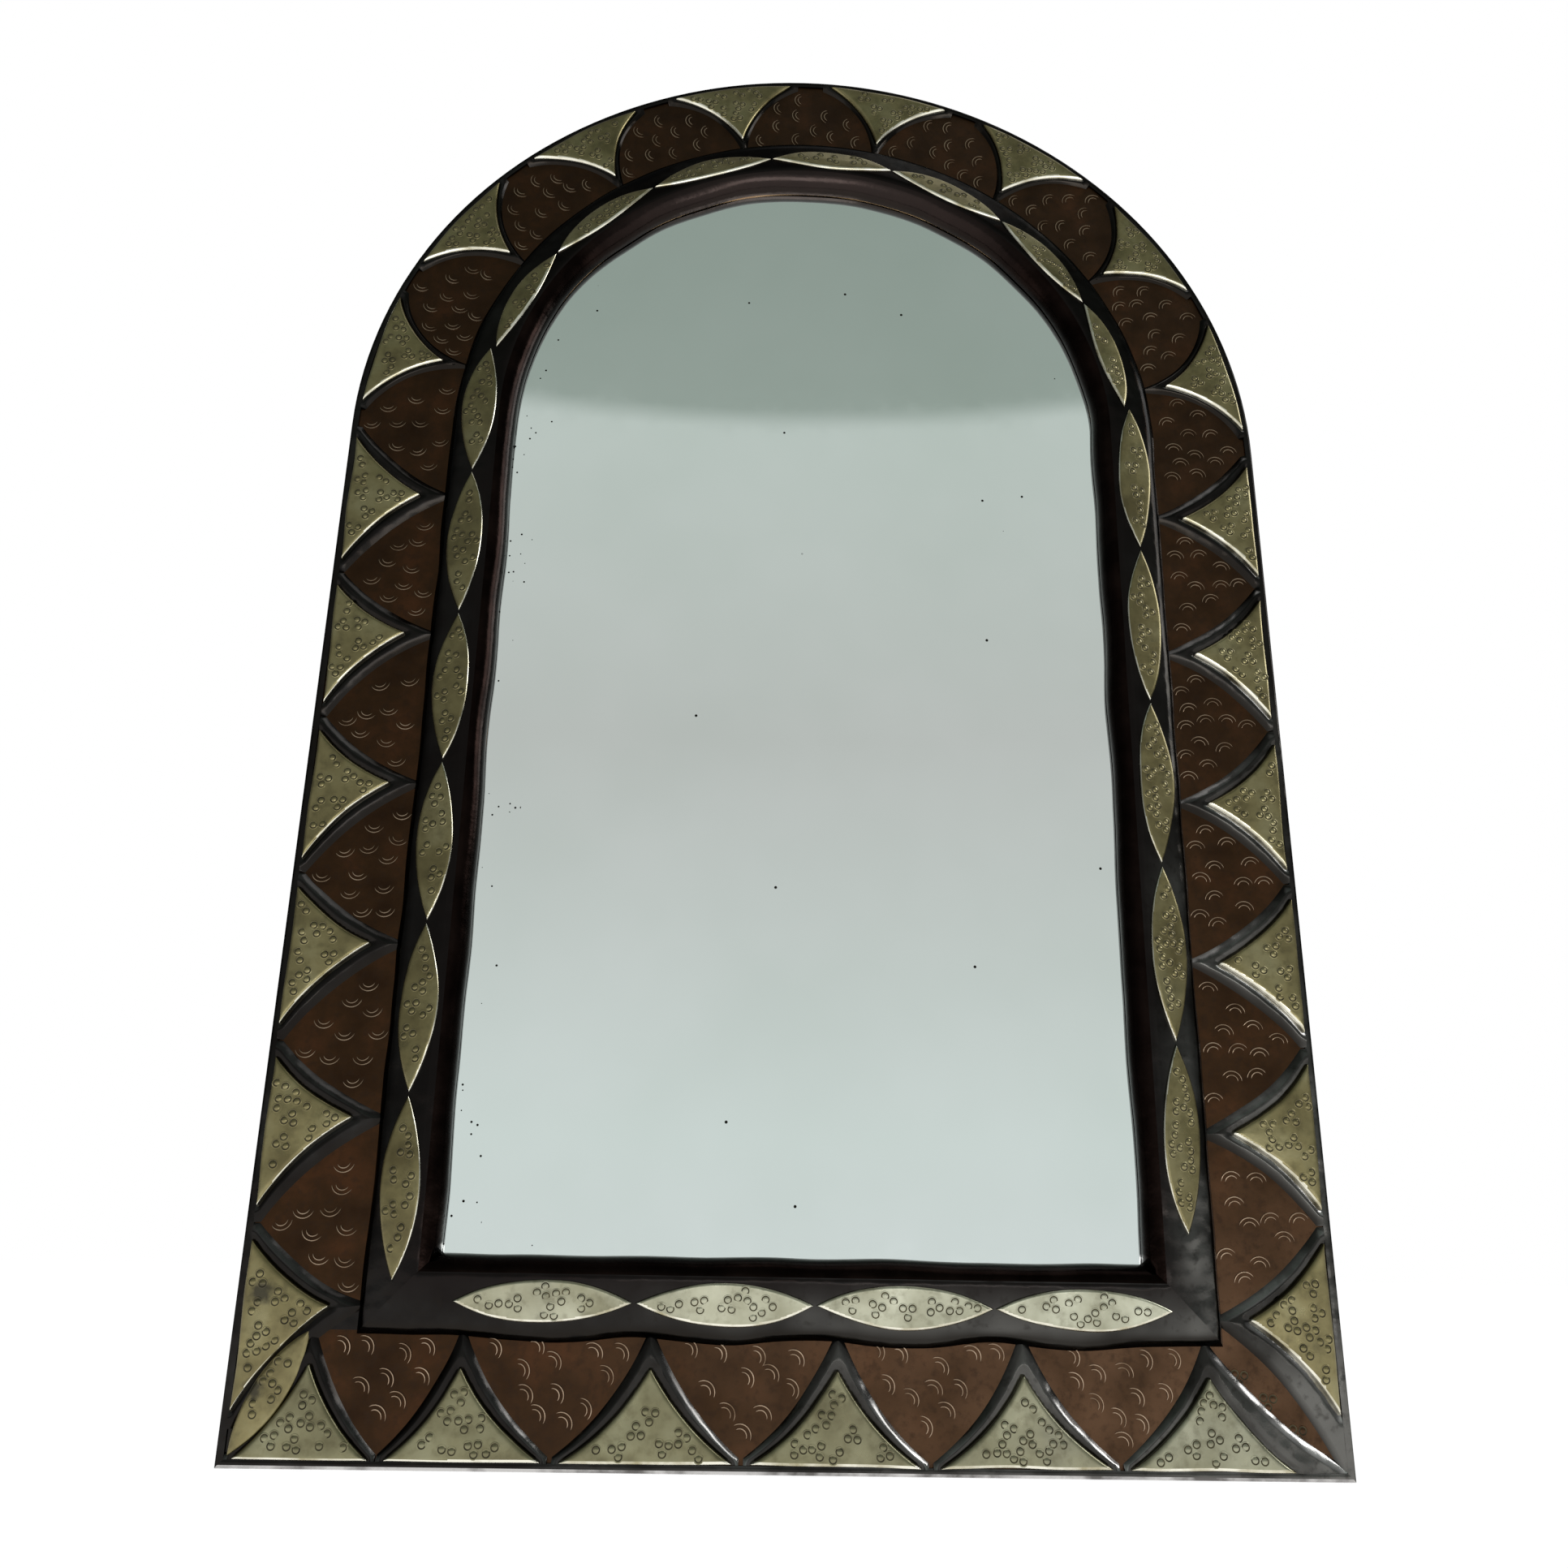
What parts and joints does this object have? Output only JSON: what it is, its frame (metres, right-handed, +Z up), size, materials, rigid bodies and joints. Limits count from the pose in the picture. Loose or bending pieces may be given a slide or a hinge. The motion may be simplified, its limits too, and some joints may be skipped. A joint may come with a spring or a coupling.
{
  "type": "arched wall mirror",
  "caption": "Arched wall mirror whose wooden frame is clad in copper scales, dark tin and raised brass plates, with a swinging ring hanger let into the back of the crown.",
  "frame": {"origin": "on the wall plane, at the back of the bottom rail, midway across and 30 mm above the foot", "axes": "+Z up, +X to the right as seen from the front, +Y out of the back towards the wall"},
  "size_m": [0.39, 0.0289, 0.6],
  "materials": {
    "wood": "bare softwood, hidden by metal",
    "board": "brown hardboard",
    "mirror": "aged silvering with foxing",
    "copper": "dark tarnished copper sheet",
    "tin": "dark polished tin sheet",
    "brass": "aged punched brass sheet",
    "steel": "bright steel hardware"
  },
  "bodies": {
    "frame": {"left_stile": "wood", "right_stile": "wood", "bottom_rail": "wood", "arch_left_segment": "wood", "arch_crown_segment": "wood", "arch_right_segment": "wood", "frame_dowels": "wood", "left_bead": "wood", "right_bead": "wood", "bottom_bead": "wood", "arch_bead": "wood", "back_board": "board", "mirror_glass": "mirror", "left_scale_1": "copper", "left_scale_2": "copper", "left_scale_3": "copper", "left_scale_4": "copper", "left_scale_5": "copper", "left_scale_6": "copper", "arch_scale_1": "copper", "arch_scale_2": "copper", "arch_scale_3": "copper", "arch_scale_4": "copper", "arch_scale_5": "copper", "arch_scale_6": "copper", "arch_scale_7": "copper", "right_scale_1": "copper", "right_scale_2": "copper", "right_scale_3": "copper", "right_scale_4": "copper", "right_scale_5": "copper", "right_scale_6": "copper", "bottom_scale_1": "copper", "bottom_scale_2": "copper", "bottom_scale_3": "copper", "bottom_scale_4": "copper", "bottom_scale_5": "copper", "right_corner_plate": "copper", "side_tin_plates": "tin", "arch_tin_plates": "tin", "bottom_tin_plates": "tin", "edge_strip": "tin", "foot_strip": "tin", "left_corner_plate": "tin", "left_bead_cover": "tin", "right_bead_cover": "tin", "bottom_bead_cover": "tin", "arch_bead_cover": "tin", "side_brass_plates": "brass", "arch_brass_plates": "brass", "bottom_brass_plates": "brass", "side_lenses": "brass", "arch_lenses": "brass", "bottom_lenses": "brass", "corner_leaf": "brass", "brads": "steel", "board_pins": "steel", "hanger_strap": "steel", "hanger_screws": "steel"},
    "ring": {"hanger_ring": "steel"}
  },
  "joints": [
    {"name": "ring_swing", "type": "hinge", "parent": "frame", "child": "ring", "pos_m": [0, -0.00319, 0.54725], "axis": [1, 0, 0], "range_deg": [0, 180]}
  ]
}
